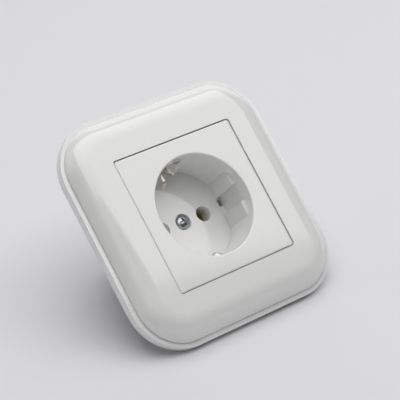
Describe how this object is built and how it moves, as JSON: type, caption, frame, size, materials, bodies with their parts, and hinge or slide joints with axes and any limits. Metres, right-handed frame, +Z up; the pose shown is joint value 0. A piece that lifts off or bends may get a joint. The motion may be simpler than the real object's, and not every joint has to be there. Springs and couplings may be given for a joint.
{
  "type": "earthed wall socket",
  "caption": "Square domed wall socket with a round recessed well, side earth clips and pin contacts, on an insert with spreading claws for a round flush box.",
  "frame": {"origin": "centre of the part on the wall's surface, which is the plane of the frame's rim and of the support ring's rear face", "axes": "+Z up the wall, +X to the right as seen from the room, the front faces -Y and the insert reaches along +Y into the box"},
  "size_m": [0.089, 0.0406, 0.089],
  "materials": {
    "white_plastic": "smooth near-white moulding with a soft gloss",
    "base_plastic": "matt pale grey moulding",
    "sheet_steel": "plated sheet steel",
    "spring_steel": "bright plated spring sheet",
    "zinc_screw": "bluish bright zinc plate",
    "brass": "plain brass"
  },
  "bodies": {
    "socket": {"cover_frame": "white_plastic", "centre_plate": "white_plastic", "centre_screw": "zinc_screw", "support_ring": "sheet_steel", "ring_rivets": "sheet_steel", "socket_base": "base_plastic", "base_back": "base_plastic", "back_screws": "zinc_screw", "screw_bush": "brass", "earth_strap": "spring_steel", "earth_terminal": "brass", "earth_terminal_screw": "zinc_screw", "live_contact": "brass", "live_terminal": "brass", "live_terminal_screw": "zinc_screw", "neutral_contact": "brass", "neutral_terminal": "brass", "neutral_terminal_screw": "zinc_screw"},
    "right_claw": {"claw_right": "sheet_steel"},
    "right_claw_screw": {"claw_screw_right": "zinc_screw"},
    "right_claw_nut": {"claw_nut_right": "zinc_screw"},
    "left_claw": {"claw_left": "sheet_steel"},
    "left_claw_screw": {"claw_screw_left": "zinc_screw"},
    "left_claw_nut": {"claw_nut_left": "zinc_screw"}
  },
  "joints": [
    {"name": "right_claw_screw_turn", "type": "hinge", "parent": "socket", "child": "right_claw_screw", "pos_m": [0.0244, 0, 0], "axis": [0, 1, 0], "range_deg": [0, 3600]},
    {"name": "right_claw_nut_slide", "type": "slide", "parent": "socket", "child": "right_claw_nut", "axis": [0, -1, 0], "range_m": [0, 0.007]},
    {"name": "right_claw_swing", "type": "hinge", "parent": "socket", "child": "right_claw", "pos_m": [0.025, 0.0032, 0], "axis": [0, 0, -1], "range_deg": [0, 12.01]},
    {"name": "left_claw_screw_turn", "type": "hinge", "parent": "socket", "child": "left_claw_screw", "pos_m": [-0.0244, 0, 0], "axis": [0, 1, 0], "range_deg": [0, 3600]},
    {"name": "left_claw_nut_slide", "type": "slide", "parent": "socket", "child": "left_claw_nut", "axis": [0, -1, 0], "range_m": [0, 0.007]},
    {"name": "left_claw_swing", "type": "hinge", "parent": "socket", "child": "left_claw", "pos_m": [-0.025, 0.0032, 0], "axis": [0, 0, 1], "range_deg": [0, 12.01]}
  ],
  "couplings": [
    {"joint": "right_claw_screw_turn", "follows": "right_claw_nut_slide", "rad_per_m": 8976},
    {"joint": "right_claw_swing", "follows": "right_claw_nut_slide", "rad_per_m": 29.92},
    {"joint": "left_claw_screw_turn", "follows": "left_claw_nut_slide", "rad_per_m": 8976},
    {"joint": "left_claw_swing", "follows": "left_claw_nut_slide", "rad_per_m": 29.92}
  ]
}
